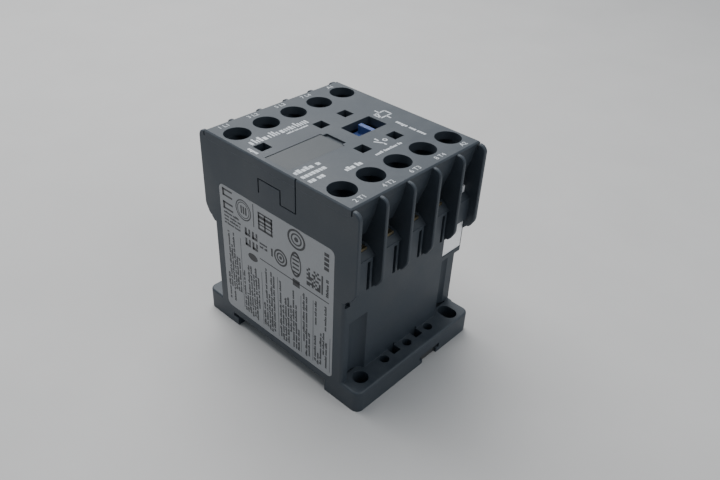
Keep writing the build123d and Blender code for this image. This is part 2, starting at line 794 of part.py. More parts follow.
os.makedirs("parts", exist_ok=True)
write("base_housing", base_housing())
housing = contact_housing()
write("line_contact_housing", half_of(housing, 1))
write("load_contact_housing", half_of(housing, -1))
write("front_cover", front_cover())
write("side_label", side_label())
write("marker_plate", marker_plate())
write("coil_bobbin", coil_bobbin())
write("coil_winding", coil_winding())
write("fixed_core", fixed_core())
write("shading_rings", shading_rings())
write("core_cushion", core_cushion())
write("core_pin", core_pin())
write("armature", armature())
write("armature_pin", armature_pin())
write("contact_carrier", contact_carrier())
write("return_springs", return_springs())
write("fixed_contact_tips", fixed_tips())
write("din_clip", din_clip())
write("din_clip_spring", din_clip_spring())
for number, x in enumerate(pole_x, start=1):
    write(f"moving_bridge_{number}", moving_bridge(x))
    write(f"bridge_tips_{number}", bridge_tips(x))
    write(f"contact_spring_{number}", contact_spring(x))
    write(f"line_contact_{number}", fixed_contact(x, 1))
    write(f"load_contact_{number}", fixed_contact(x, -1))
for number, x in enumerate(column_x, start=1):
    write(f"line_clamp_{number}", clamp_plate(x, 1))
    write(f"line_screw_{number}", terminal_screw(x, 1))
    write(f"load_clamp_{number}", clamp_plate(x, -1))
    write(f"load_screw_{number}", terminal_screw(x, -1))
write("coil_terminals", Compound(children=[coil_terminal(side) for side in SIDES]))
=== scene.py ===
"""Looks for a DIN rail contactor: finishes for the CAD nodes, printed marks, coil turns and the stage."""

import json
from math import cos, pi, sin
from random import Random

import bmesh
import bpy
from bpy.props import FloatProperty, FloatVectorProperty, IntProperty, PointerProperty
from mathutils import Matrix, Vector


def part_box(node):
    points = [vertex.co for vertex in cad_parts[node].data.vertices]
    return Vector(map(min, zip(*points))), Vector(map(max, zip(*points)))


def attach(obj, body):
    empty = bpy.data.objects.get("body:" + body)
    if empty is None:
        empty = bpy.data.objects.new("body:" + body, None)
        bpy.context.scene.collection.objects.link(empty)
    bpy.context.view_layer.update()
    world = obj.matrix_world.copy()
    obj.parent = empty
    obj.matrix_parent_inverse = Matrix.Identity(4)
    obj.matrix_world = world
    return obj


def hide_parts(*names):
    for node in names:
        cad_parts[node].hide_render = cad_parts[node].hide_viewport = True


bl_info = {
    "name": "DIN rail contactor",
    "version": (1, 0, 0),
    "blender": (4, 5, 0),
    "location": "3D View > Sidebar > Contactor",
    "description": "Finishes, printed marks, coil turns and stage for a DIN rail contactor",
    "category": "Object",
}

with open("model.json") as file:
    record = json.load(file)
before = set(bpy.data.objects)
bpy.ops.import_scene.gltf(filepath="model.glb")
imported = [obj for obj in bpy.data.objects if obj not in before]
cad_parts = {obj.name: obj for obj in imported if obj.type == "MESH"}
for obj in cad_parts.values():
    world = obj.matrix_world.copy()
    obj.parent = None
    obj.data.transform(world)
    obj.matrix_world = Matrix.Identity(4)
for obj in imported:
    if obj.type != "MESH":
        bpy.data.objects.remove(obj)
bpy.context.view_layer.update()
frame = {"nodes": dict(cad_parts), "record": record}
MM = 0.001
SMOOTH_ANGLE = pi / 6
FACE_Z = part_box("front_cover")[1].z
LABEL_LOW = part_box("side_label")[0]
LINE_NUMBERS = ("1 L1", "3 L2", "5 L3", "7 L4", "A1")
LOAD_NUMBERS = ("2 T1", "4 T2", "6 T3", "8 T4", "A2")
NUMBER_INSET = 1.8 * MM  # from the face's edge to the middle of the terminal numbers

NOISE_SPAN = (0.3, 0.7)  # where most values of a noise lie
FINE_RELIEF = 0.000004  # metres
DUST = (0.42, 0.42, 0.41, 1.0)
SCUFF = (0.8, 0.8, 0.8, 1.0)
SHEET_DARK, SHEET_PALE = (0.3, 0.31, 0.33, 1.0), (0.42, 0.43, 0.45, 1.0)
SHEET_JOINT = (0.05, 0.05, 0.055, 1.0)
COPPER_PALE, COPPER_DARK = (0.62, 0.2, 0.07, 1.0), (0.45, 0.12, 0.035, 1.0)
RUBBER_DARK, RUBBER_BLOOM = (0.016, 0.016, 0.017, 1.0), (0.045, 0.045, 0.046, 1.0)
BRASS, SILVER = (0.46, 0.38, 0.23), (0.82, 0.81, 0.78)
SPRING_WIRE, ZINC = (0.5, 0.51, 0.53), (0.66, 0.67, 0.69)

KEY_PLACE, KEY_SIDE = (0.1, 0.3, 0.55), 0.6
FILL_PLACE, FILL_SIDE = (0.12, -0.5, 0.42), 0.4
LIGHTS_AIM = (0.0, 0.0, 0.03)
SKY = (0.8, 0.9, 1.0, 1.0)
FLOOR_REACH = 1.5

# drawing of the front face and the side label, in millimetres
FRONT_LINES = (  # left, bottom, length, height of the letters
    (-21.2, -6.6, 8.6, 1.6),
    (-21.2, -8.9, 8.0, 1.6),
    (-21.2, -11.2, 5.0, 1.6),
    (-11.8, -12.9, 5.4, 1.5),
    (-1.6, -12.4, 9.4, 0.9),
)
FRONT_UPRIGHT_LINES = ((15.6, -13.2, 10.6, 1.1), (-20.7, 6.4, 4.6, 0.9))  # right, bottom, length, height
NAME_UNDERLINE = (-9.5, 9.2, 7.0, 0.6)
NAME_LEFT, NAME_RIGHT, NAME_BOTTOM = -19.2, -1.6, 10.4
LABEL_RINGS = (  # centre, radius, width, height over width
    (-11.1, 40.3, 2.75, 0.3, 1.0),
    (-11.1, 40.3, 2.15, 0.2, 1.0),
    (7.8, 41.2, 2.7, 0.6, 0.9),
    (7.8, 41.2, 1.6, 0.45, 0.9),
    (2.2, 33.1, 2.1, 0.5, 1.0),
    (2.2, 33.1, 1.2, 0.45, 1.0),
    (7.5, 34.0, 1.7, 0.35, 1.95),
)
LABEL_SPOTS = ((7.8, 41.2, 0.7, 0.9), (2.2, 33.1, 0.5, 1.0), (-8.3, 27.6, 1.8, 0.6))
LABEL_BARS = (  # left, right, bottom, top
    (-7.45, -7.2, 37.3, 43.8),
    (-1.2, -0.6, 31.9, 34.2),
    (16.1, 16.6, 30.2, 35.6),
    (-5.6, 18.6, 28.7, 28.95),
    (6.4, 8.8, 27.5, 29.5),
)
LABEL_BLOCKS = (  # left, right, bottom, top of the blocks of small print
    (-19.0, -13.4, 8.6, 31.6),
    (-12.6, -5.6, 7.4, 25.2),
    (-4.8, 0.4, 7.2, 27.0),
    (1.4, 8.8, 7.2, 26.2),
    (9.8, 13.0, 7.2, 27.2),
    (13.8, 18.8, 7.2, 18.9),
)
SMALL_LETTER = 0.7 * MM


# ---------------------------------------------------------------- settings
class ContactorMoulding(bpy.types.PropertyGroup):
    """Colours and surface of the moulded pieces."""

    housing: FloatVectorProperty(
        name="Housing", description="Dark grey of both housings", subtype="COLOR",
        default=(0.031, 0.041, 0.053),
    )
    marker: FloatVectorProperty(
        name="Marker plate", description="Grey of the marker plate", subtype="COLOR",
        default=(0.024, 0.031, 0.037),
    )
    carrier: FloatVectorProperty(
        name="Contact carrier", description="Blue of the moving carrier", subtype="COLOR",
        default=(0.05, 0.09, 0.27),
    )
    bobbin: FloatVectorProperty(
        name="Coil bobbin", description="White of the coil bobbin", subtype="COLOR",
        default=(0.93, 0.93, 0.94),
    )
    rail_clip: FloatVectorProperty(
        name="Rail clip", description="Near black of the rail clip", subtype="COLOR",
        default=(0.025, 0.027, 0.03),
    )
    grain: FloatProperty(
        name="Grain", description="Size of the moulded grain", unit="LENGTH", default=0.00018
    )
    edge: FloatProperty(
        name="Edge radius", description="Rounding seen along moulded edges", unit="LENGTH", default=0.00016
    )


class ContactorPrint(bpy.types.PropertyGroup):
    """Printed marks on the front face and the side label."""

    ink: FloatVectorProperty(
        name="Front ink", description="Pale ink on the front face", subtype="COLOR",
        default=(0.62, 0.65, 0.68),
    )
    label: FloatVectorProperty(
        name="Label film", description="Silver grey of the label", subtype="COLOR",
        default=(0.32, 0.325, 0.335),
    )
    label_ink: FloatVectorProperty(
        name="Label ink", description="Dark ink on the label", subtype="COLOR",
        default=(0.02, 0.021, 0.025),
    )
    thickness: FloatProperty(
        name="Ink thickness", description="How far the ink stands proud", unit="LENGTH", default=0.00002
    )
    numeral: FloatProperty(
        name="Numerals", description="Height of the terminal numbers", unit="LENGTH", default=0.0019
    )
    line_pitch: FloatProperty(
        name="Label lines", description="From one line of small print to the next", unit="LENGTH",
        default=0.00094,
    )


class ContactorCoil(bpy.types.PropertyGroup):
    """The wound coil."""

    turns: IntProperty(name="Rows", description="Rows of wire along the coil", default=13)
    groove: FloatProperty(
        name="Groove", description="Depth between two rows of wire", unit="LENGTH", default=0.00022
    )
    build: FloatProperty(
        name="Build", description="Thickness of the winding round its tube", unit="LENGTH", default=0.0048
    )
    corner: FloatProperty(
        name="Corner", description="Radius of the winding's corners", unit="LENGTH", default=0.003
    )


class ContactorStage(bpy.types.PropertyGroup):
    """Camera, lights and floor."""

    azimuth: FloatProperty(
        name="Azimuth", description="Camera direction", subtype="ANGLE", default=-0.8461
    )
    elevation: FloatProperty(
        name="Elevation", description="Camera height angle", subtype="ANGLE", default=0.6105
    )
    roll: FloatProperty(name="Roll", description="Camera roll", subtype="ANGLE", default=0.0506)
    distance: FloatProperty(name="Distance", description="Camera to target", unit="LENGTH", default=0.153)
    lens: FloatProperty(name="Lens", description="Focal length in millimetres", default=35.3)
    target: FloatVectorProperty(
        name="Target", description="Point at the middle of the view", subtype="XYZ",
        default=(-0.01693, -0.02215, 0.0458),
    )
    floor: FloatVectorProperty(
        name="Floor", description="Pale floor", subtype="COLOR",
        default=(0.5, 0.49, 0.48),
    )
    key: FloatProperty(
        name="Key light", description="Power of the soft light above", unit="POWER", default=5.8
    )
    fill: FloatProperty(
        name="Fill light", description="Power of the soft light in front", unit="POWER", default=1.1
    )
    ambient: FloatProperty(name="Ambient", description="Strength of the even light", default=0.4)


# ---------------------------------------------------------------- node helpers
def add(tree, kind, **settings):
    """A new node with these settings."""
    node = tree.nodes.new(kind)
    for name, value in settings.items():
        setattr(node, name, value)
    return node


def feed(tree, socket, value):
    """Link an output to the socket, or set the socket's own value."""
    if isinstance(value, bpy.types.NodeSocket):
        tree.links.new(value, socket)
    else:
        socket.default_value = value


def sums(tree, operation, first, second=0.0, clamp=False):
    """One Math node's result."""
    node = add(tree, "ShaderNodeMath", operation=operation, use_clamp=clamp)
    feed(tree, node.inputs[0], first)
    feed(tree, node.inputs[1], second)
    return node.outputs[0]


def spread(tree, value, low, high, start=0.0, end=1.0):
    """value, moved from the range start to end into the range low to high."""
    node = add(tree, "ShaderNodeMapRange")
    numbers = {"Value": value, "From Min": start, "From Max": end, "To Min": low, "To Max": high}
    for name, number in numbers.items():
        feed(tree, node.inputs[name], number)
    return node.outputs["Result"]


def mix_colours(tree, factor, first, second):
    """One colour turned towards another by factor."""
    node = add(tree, "ShaderNodeMix", data_type="RGBA")
    feed(tree, node.inputs["Factor"], factor)
    feed(tree, node.inputs["A"], first)
    feed(tree, node.inputs["B"], second)
    return node.outputs["Result"]


def solid(colour, gain=1.0):
    """A property's colour with alpha, made lighter or darker."""
    return (colour[0] * gain, colour[1] * gain, colour[2] * gain, 1.0)


def object_place(tree, stretch=(1.0, 1.0, 1.0)):
    """Object coordinates, stretched along the axes."""
    place = add(tree, "ShaderNodeTexCoord")
    mapping = add(tree, "ShaderNodeMapping")
    mapping.inputs["Scale"].default_value = stretch
    tree.links.new(place.outputs["Object"], mapping.inputs["Vector"])
    return mapping.outputs["Vector"]


def noise(tree, place, scale, detail=2.0, roughness=0.5):
    """A noise value at this scale."""
    node = add(tree, "ShaderNodeTexNoise")
    tree.links.new(place, node.inputs["Vector"])
    feed(tree, node.inputs["Scale"], scale)
    node.inputs["Detail"].default_value = detail
    node.inputs["Roughness"].default_value = roughness
    return node.outputs["Fac"]


def start_group(name, inputs, outputs):
    """An empty shader group with its sockets."""
    group = bpy.data.node_groups.new(name, "ShaderNodeTree")
    for title, value in inputs:
        socket = group.interface.new_socket(title, in_out="INPUT", socket_type="NodeSocketFloat")
        socket.default_value = value
    for title in outputs:
        group.interface.new_socket(title, in_out="OUTPUT", socket_type="NodeSocketFloat")
    return group, add(group, "NodeGroupInput"), add(group, "NodeGroupOutput")


# ---------------------------------------------------------------- shared effects
def make_grain_group():
    """Fine moulded grain, and the slow change of tone across a moulding."""
    group, given, result = start_group(
        "Moulded grain", (("Size", 0.0002), ("Tone Size", 0.012)), ("Height", "Tone", "Fleck")
    )
    place = object_place(group)
    fine = noise(group, place, sums(group, "DIVIDE", 1.0, given.outputs["Size"]), 2.0, 0.6)
    slow = noise(group, place, sums(group, "DIVIDE", 1.0, given.outputs["Tone Size"]), 3.0, 0.55)
    fleck = noise(group, place, sums(group, "DIVIDE", 0.35, given.outputs["Size"]), 1.0, 0.5)
    group.links.new(fine, result.inputs["Height"])
    group.links.new(slow, result.inputs["Tone"])
    group.links.new(spread(group, fleck, 0.0, 1.0, 0.62, 0.75), result.inputs["Fleck"])
    return group


def make_wear_group():
    """A mask that is white where an edge is rubbed, broken up along its length."""
    group, given, result = start_group("Edge wear", (("Width", 0.0002), ("Break Up", 0.002)), ("Mask",))
    rounded = add(group, "ShaderNodeBevel", samples=6)
    group.links.new(given.outputs["Width"], rounded.inputs["Radius"])
    surface = add(group, "ShaderNodeNewGeometry")
    facing = add(group, "ShaderNodeVectorMath", operation="DOT_PRODUCT")
    group.links.new(rounded.outputs["Normal"], facing.inputs[0])
    group.links.new(surface.outputs["Normal"], facing.inputs[1])
    turned = spread(group, facing.outputs["Value"], 1.0, 0.0, 0.75, 0.995)
    scale = sums(group, "DIVIDE", 1.0, given.outputs["Break Up"])
    patch = noise(group, object_place(group), scale, 3.0, 0.6)
    broken = sums(group, "MULTIPLY", turned, spread(group, patch, 0.15, 1.0, 0.35, 0.65), clamp=True)
    group.links.new(broken, result.inputs["Mask"])
    return group


def make_dust_group():
    """A mask of light dust on the faces that look up."""
    group, given, result = start_group("Settled dust", (("Amount", 0.3), ("Patch Size", 0.006)), ("Mask",))
    place = add(group, "ShaderNodeTexCoord")
    parts = add(group, "ShaderNodeSeparateXYZ")
    group.links.new(place.outputs["Normal"], parts.inputs["Vector"])
    upward = spread(group, parts.outputs["Z"], 0.0, 1.0, 0.5, 1.0)
    scale = sums(group, "DIVIDE", 1.0, given.outputs["Patch Size"])
    patch = noise(group, place.outputs["Object"], scale, 5.0, 0.65)
    dusty = sums(group, "MULTIPLY", upward, spread(group, patch, 0.0, 1.0, 0.35, 0.75))
    mask = sums(group, "MULTIPLY", dusty, given.outputs["Amount"], clamp=True)
    group.links.new(mask, result.inputs["Mask"])
    return group


def make_layer_group():
    """Stacked sheets across X: a line at each joint between two sheets."""
    group, given, result = start_group("Stacked sheets", (("Sheet", 0.0005),), ("Line", "Shade"))
    place = add(group, "ShaderNodeTexCoord")
    parts = add(group, "ShaderNodeSeparateXYZ")
    group.links.new(place.outputs["Object"], parts.inputs["Vector"])
    count = sums(group, "DIVIDE", parts.outputs["X"], given.outputs["Sheet"])
    wave = sums(group, "PINGPONG", count, 0.5)
    group.links.new(spread(group, wave, 1.0, 0.0, 0.0, 0.12), result.inputs["Line"])
    sheet = add(group, "ShaderNodeTexWhiteNoise", noise_dimensions="1D")
    group.links.new(sums(group, "FLOOR", sums(group, "ADD", count, 0.5)), sheet.inputs["W"])
    group.links.new(sheet.outputs["Value"], result.inputs["Shade"])
    return group


GROUP_MAKERS = {
    "Moulded grain": make_grain_group,
    "Edge wear": make_wear_group,
    "Settled dust": make_dust_group,
    "Stacked sheets": make_layer_group,
}


def effect(tree, name, **values):
    """One of the shared effects in this material, with its own values."""
    if name not in bpy.data.node_groups:
        GROUP_MAKERS[name]()
    node = add(tree, "ShaderNodeGroup", node_tree=bpy.data.node_groups[name])
    for title, value in values.items():
        node.inputs[title.replace("_", " ")].default_value = value
    return node


def relief(tree, height, distance, strength=1.0, edge=0.0):
    """A bump from height, on top of rounded edges where edge is given."""
    bump = add(tree, "ShaderNodeBump")
    tree.links.new(height, bump.inputs["Height"])
    bump.inputs["Distance"].default_value = distance
    bump.inputs["Strength"].default_value = strength
    if edge:
        rounded = add(tree, "ShaderNodeBevel", samples=6)
        rounded.inputs["Radius"].default_value = edge
        tree.links.new(rounded.outputs["Normal"], bump.inputs["Normal"])
    return bump.outputs["Normal"]


# ---------------------------------------------------------------- materials
def start_material(name, roughness=0.5, metallic=0.0):
    """A material, its tree and its Principled shader."""
    material = bpy.data.materials.new(name)
    material.use_nodes = True
    shader = material.node_tree.nodes["Principled BSDF"]
    shader.inputs["Roughness"].default_value = roughness
    shader.inputs["Metallic"].default_value = metallic
    return material, material.node_tree, shader


def moulded(name, colour, gloss=(0.44, 0.58), dust=0.25, wear=0.5, depth=0.00001, grain=1.0):
    """Satin moulded plastic: grain, slow change of tone, rubbed edges and a little dust."""
    settings = bpy.context.scene.contactor_moulding
    material, tree, shader = start_material(name)
    surface = effect(tree, "Moulded grain", Size=settings.grain * grain)
    rubbed = effect(tree, "Edge wear", Width=settings.edge * 1.5)
    settled = effect(tree, "Settled dust", Amount=dust)
    toned = mix_colours(tree, surface.outputs["Tone"], solid(colour, 0.82), solid(colour, 1.18))
    speck = sums(tree, "MULTIPLY", surface.outputs["Fleck"], 0.35)
    flecked = mix_colours(tree, speck, toned, solid(colour, 1.5))
    bare = sums(tree, "MULTIPLY", rubbed.outputs["Mask"], wear)
    worn = mix_colours(tree, bare, flecked, solid(colour, 2.1))
    dusty = mix_colours(tree, sums(tree, "MULTIPLY", settled.outputs["Mask"], 0.3), worn, DUST)
    tree.links.new(dusty, shader.inputs["Base Color"])
    glossy = spread(tree, surface.outputs["Tone"], *gloss, *NOISE_SPAN)
    dull = sums(tree, "MULTIPLY", settled.outputs["Mask"], 0.25)
    tree.links.new(sums(tree, "ADD", glossy, dull, clamp=True), shader.inputs["Roughness"])
    bumps = relief(tree, surface.outputs["Height"], depth, 0.8, settings.edge)
    tree.links.new(bumps, shader.inputs["Normal"])
    return material


def metal(name, colour, roughness, stretch=(1.0, 1.0, 1.0), scratch=6000.0, edge=0.00012):
    """Bare metal with drawn or rolled marks along one axis, tarnish in patches and bright edges."""
    material, tree, shader = start_material(name, metallic=1.0)
    marks = noise(tree, object_place(tree, stretch), scratch, 3.0, 0.6)
    patch = noise(tree, object_place(tree), 500.0, 4.0, 0.6)
    rubbed = effect(tree, "Edge wear", Width=edge)
    dull = spread(tree, patch, 0.0, 1.0, 0.3, 0.75)
    tarnish = mix_colours(tree, dull, solid(colour), solid(colour, 0.72))
    bare = sums(tree, "MULTIPLY", rubbed.outputs["Mask"], 0.6)
    bright = mix_colours(tree, bare, tarnish, solid(colour, 1.15))
    tree.links.new(bright, shader.inputs["Base Color"])
    uneven = sums(tree, "ADD", sums(tree, "MULTIPLY", marks, 0.5), sums(tree, "MULTIPLY", patch, 0.5))
    tree.links.new(spread(tree, uneven, *roughness, *NOISE_SPAN), shader.inputs["Roughness"])
    tree.links.new(relief(tree, marks, FINE_RELIEF, 0.7, edge), shader.inputs["Normal"])
    return material


def laminated_steel():
    """Stacked sheets with dark joints, each sheet a little different, and rounded edges."""
    material, tree, shader = start_material("Laminated steel", metallic=1.0)
    stack = effect(tree, "Stacked sheets")
    marks = noise(tree, object_place(tree, (1.0, 0.12, 0.12)), 5000.0, 3.0, 0.6)
    base = mix_colours(tree, stack.outputs["Shade"], SHEET_DARK, SHEET_PALE)
    lined = mix_colours(tree, sums(tree, "MULTIPLY", stack.outputs["Line"], 0.75), base, SHEET_JOINT)
    tree.links.new(lined, shader.inputs["Base Color"])
    tree.links.new(spread(tree, marks, 0.32, 0.55, *NOISE_SPAN), shader.inputs["Roughness"])
    sunk = sums(tree, "SUBTRACT", marks, sums(tree, "MULTIPLY", stack.outputs["Line"], 3.0))
    tree.links.new(relief(tree, sunk, 0.00002, 0.8, 0.0001), shader.inputs["Normal"])
    return material


def enamelled_wire():
    """Copper wire under clear enamel."""
    material, tree, shader = start_material("Enamelled copper", metallic=1.0)
    place = object_place(tree)
    patch = noise(tree, place, 700.0, 4.0, 0.6)
    fine = noise(tree, place, 9000.0, 2.0, 0.5)
    dark = spread(tree, patch, 0.0, 1.0, *NOISE_SPAN)
    tree.links.new(mix_colours(tree, dark, COPPER_PALE, COPPER_DARK), shader.inputs["Base Color"])
    tree.links.new(spread(tree, fine, 0.22, 0.38, *NOISE_SPAN), shader.inputs["Roughness"])
    shader.inputs["Coat Weight"].default_value = 0.6
    shader.inputs["Coat Roughness"].default_value = 0.12
    tree.links.new(relief(tree, fine, FINE_RELIEF, 0.6), shader.inputs["Normal"])
    return material


def label_film():
    """Silver grey film with a fine print screen and soft scuffs."""
    settings = bpy.context.scene.contactor_print
    material, tree, shader = start_material("Label film")
    fibre = noise(tree, object_place(tree, (1.0, 1.0, 0.3)), 4200.0, 3.0, 0.6)
    cloud = noise(tree, object_place(tree), 160.0, 4.0, 0.6)
    rubbed = effect(tree, "Edge wear", Width=0.0002)
    toned = mix_colours(tree, cloud, solid(settings.label, 0.9), solid(settings.label, 1.08))
    screen = spread(tree, fibre, 0.0, 0.16, 0.4, 0.7)
    speck = mix_colours(tree, screen, toned, solid(settings.label, 0.6))
    edged = mix_colours(tree, sums(tree, "MULTIPLY", rubbed.outputs["Mask"], 0.5), speck, SCUFF)
    tree.links.new(edged, shader.inputs["Base Color"])
    tree.links.new(spread(tree, cloud, 0.36, 0.52, *NOISE_SPAN), shader.inputs["Roughness"])
    tree.links.new(relief(tree, fibre, FINE_RELIEF, 0.6, 0.00006), shader.inputs["Normal"])
    return material


def printed_ink(name, colour, rub):
    """Screen printed ink, thinner in places."""
    material, tree, shader = start_material(name)
    place = object_place(tree)
    thin = noise(tree, place, 2600.0, 4.0, 0.65)
    cloud = noise(tree, place, 300.0, 3.0, 0.6)
    gaps = spread(tree, thin, 0.0, 1.0, 0.42, 0.75)
    faded = sums(tree, "MULTIPLY", gaps, spread(tree, cloud, 0.2, 1.0, *NOISE_SPAN))
    tree.links.new(mix_colours(tree, faded, solid(colour), rub), shader.inputs["Base Color"])
    tree.links.new(spread(tree, thin, 0.4, 0.62, *NOISE_SPAN), shader.inputs["Roughness"])
    tree.links.new(relief(tree, thin, FINE_RELIEF, 0.6), shader.inputs["Normal"])
    return material


def rubber():
    """Matt black rubber with a bloom."""
    material, tree, shader = start_material("Rubber")
    surface = effect(tree, "Moulded grain", Size=0.00035, Tone_Size=0.005)
    grain = surface.outputs["Height"]
    toned = mix_colours(tree, surface.outputs["Tone"], RUBBER_DARK, RUBBER_BLOOM)
    tree.links.new(toned, shader.inputs["Base Color"])
    tree.links.new(spread(tree, grain, 0.7, 0.9, *NOISE_SPAN), shader.inputs["Roughness"])
    tree.links.new(relief(tree, grain, 0.00002, 0.8, 0.0002), shader.inputs["Normal"])
    return material


def slot_materials():
    """The finish of each material slot that the record names."""
    colours = bpy.context.scene.contactor_moulding
    return {
        "housing": moulded("Grey moulding", colours.housing),
        "marker": moulded("Marker plate grey", colours.marker, (0.42, 0.5), 0.15, 0.3, 0.000005),
        "bobbin": moulded("White nylon", colours.bobbin, (0.34, 0.46), 0.1, 0.1, 0.000006),
        "carrier": moulded("Blue acetal", colours.carrier, (0.26, 0.36), 0.12, 0.35, 0.000005),
        "rail_clip": moulded("Clip moulding", colours.rail_clip, (0.34, 0.46), 0.2, 0.5, 0.000008),
        "label": label_film(),
        "copper": enamelled_wire(),
        "brass": metal("Pressed brass", BRASS, (0.34, 0.5), (1.0, 0.06, 1.0)),
        "silver": metal("Silver contact", SILVER, (0.28, 0.46), scratch=4000.0),
        "magnet_steel": laminated_steel(),
        "spring_steel": metal("Spring wire", SPRING_WIRE, (0.2, 0.34), scratch=9000.0, edge=0.00004),
        "plated_steel": metal("Zinc plate", ZINC, (0.26, 0.44), scratch=3000.0),
        "rubber": rubber(),
    }


# ---------------------------------------------------------------- mesh helpers
def finish_piece(name, mesh_tool, material, body="housing", smooth=False):
    """Turn a bmesh into a piece at the origin that rides on a body."""
    bmesh.ops.recalc_face_normals(mesh_tool, faces=mesh_tool.faces)
    mesh = bpy.data.meshes.new(name)
    mesh_tool.to_mesh(mesh)
    mesh_tool.free()
    mesh.materials.append(material)
    if smooth:
        mesh.shade_smooth()
    piece = bpy.data.objects.new(name, mesh)
    bpy.context.scene.collection.objects.link(piece)
    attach(piece, body)
    return piece


def slab(tool, place, x, y, depth):
    """A thin block of ink between two places on each axis, half of it below the surface."""
    middle = Matrix.Translation(((x[0] + x[1]) / 2, (y[0] + y[1]) / 2, 0.0))
    size = Matrix.Diagonal((x[1] - x[0], y[1] - y[0], depth * 2, 1.0))
    bmesh.ops.create_cube(tool, size=1.0, matrix=place @ middle @ size)


def stroke(tool, place, start, end, width, depth):
    """A thin straight line of ink between two points."""
    run = Vector(end) - Vector(start)
    middle = (Vector(start) + Vector(end)) / 2
    turn = Matrix.Rotation(run.angle_signed(Vector((1.0, 0.0))), 4, "Z")
    size = Matrix.Diagonal((run.length + width * 0.5, width, depth * 2, 1.0))
    shape = place @ Matrix.Translation(middle.to_3d()) @ turn @ size
    bmesh.ops.create_cube(tool, size=1.0, matrix=shape)


def bars(tool, place, depth, places):
    """Blocks of ink at places of left, right, bottom and top in millimetres."""
    for left, right, bottom, top in places:
        slab(tool, place, (left * MM, right * MM), (bottom * MM, top * MM), depth)


def ring(tool, place, centre, radius, width, depth, aspect=1.0, steps=28):
    """A flat ring of ink, spun from its square section."""
    inside, outside = radius - width / 2, radius + width / 2
    corners = ((inside, -depth), (outside, -depth), (outside, depth), (inside, depth))
    section = [tool.verts.new((x, 0.0, z)) for x, z in corners]
    sides = [tool.edges.new((section[i], section[i - 1])) for i in range(4)]
    before = set(tool.verts) - set(section)
    bmesh.ops.spin(
        tool, geom=section + sides, cent=(0, 0, 0), axis=(0, 0, 1), dvec=(0, 0, 0),
        angle=2 * pi, steps=steps, use_merge=True, use_duplicate=False,
    )
    made = [v for v in tool.verts if v not in before]
    at = Matrix.Translation((centre[0], centre[1], 0.0)) @ Matrix.Diagonal((1.0, aspect, 1.0, 1.0))
    bmesh.ops.transform(tool, matrix=place @ at, verts=made)


def dot(tool, place, centre, radius, depth, aspect=1.0):
    """A flat round spot of ink."""
    at = Matrix.Translation((centre[0], centre[1], 0.0)) @ Matrix.Diagonal((1.0, aspect, 1.0, 1.0))
    bmesh.ops.create_cone(
        tool, cap_ends=True, segments=24, radius1=radius, radius2=radius, depth=depth * 2, matrix=place @ at
    )


def small_print(tool, place, start, length, height, depth, draw, upright=False):
    """A line of marks too small to read: words of short strokes of uneven height."""
    along = 0.0
    while along < length - height:
        for _ in range(draw.randint(2, 8)):
            width = height * draw.uniform(0.42, 0.68)
            tall = height * draw.choice((0.68, 0.72, 0.72, 1.0))
            if along + width > length:
                break
            x, y = start
            if upright:
                slab(tool, place, (x - tall, x), (y + along, y + along + width), depth)
            else:
                slab(tool, place, (x + along, x + along + width), (y, y + tall), depth)
            along += width + height * 0.12
        along += height * draw.uniform(0.35, 0.6)


def add_text(tool, place, words, centre, size, depth):
    """Generic numerals as solid letters."""
    curve = bpy.data.curves.new("numerals", "FONT")
    curve.body = words
    curve.size = size
    curve.align_x = "CENTER"
    curve.align_y = "CENTER"
    curve.extrude = depth
    curve.resolution_u = 3
    holder = bpy.data.objects.new("numerals", curve)
    bpy.context.scene.collection.objects.link(holder)
    depsgraph = bpy.context.evaluated_depsgraph_get()
    mesh = bpy.data.meshes.new_from_object(holder.evaluated_get(depsgraph))
    mesh.transform(place @ Matrix.Translation((centre[0], centre[1], 0.0)))
    tool.from_mesh(mesh)
    bpy.data.objects.remove(holder)
    bpy.data.curves.remove(curve)
    bpy.data.meshes.remove(mesh)


def front_place():
    """From flat drawing coordinates to the front face."""
    return Matrix.Translation((0.0, 0.0, FACE_Z))


def label_place():
    """From flat drawing coordinates to the side label: right is -Y and up is +Z."""
    return Matrix(((0, 0, -1, LABEL_LOW.x), (-1, 0, 0, 0), (0, 1, 0, 0), (0, 0, 0, 1)))


# ---------------------------------------------------------------- operators
class ContactorOperator(bpy.types.Operator):
    """Shared options of the operators."""

    bl_options = {"REGISTER", "UNDO"}


class CONTACTOR_OT_finishes(ContactorOperator):
    """Give every CAD node the finish of its material slot"""

    bl_idname = "contactor.finishes"
    bl_label = "Node finishes"

    def execute(self, context):
        made = slot_materials()
        for part in frame["record"]["subparts"]:
            node = frame["nodes"][part["node"]]
            for slot in node.material_slots:
                slot.material = made[part["material_slot"]]
        return {"FINISHED"}


class CONTACTOR_OT_numbers(ContactorOperator):
    """Print the terminal numbers beside the driver holes"""

    bl_idname = "contactor.numbers"
    bl_label = "Terminal numbers"

    def execute(self, context):
        settings = context.scene.contactor_print
        tool = bmesh.new()
        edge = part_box("front_cover")[1].y
        for side, row, words in ((1, "line", LINE_NUMBERS), (-1, "load", LOAD_NUMBERS)):
            for number, text in enumerate(words, start=1):
                low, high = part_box(f"{row}_screw_{number}")
                centre = ((low.x + high.x) / 2, side * (edge - NUMBER_INSET))
                add_text(tool, front_place(), text, centre, settings.numeral, settings.thickness)
        bmesh.ops.remove_doubles(tool, verts=tool.verts, dist=0.000001)
        finish_piece("terminal_numbers", tool, bpy.data.materials["Front ink"])
        return {"FINISHED"}


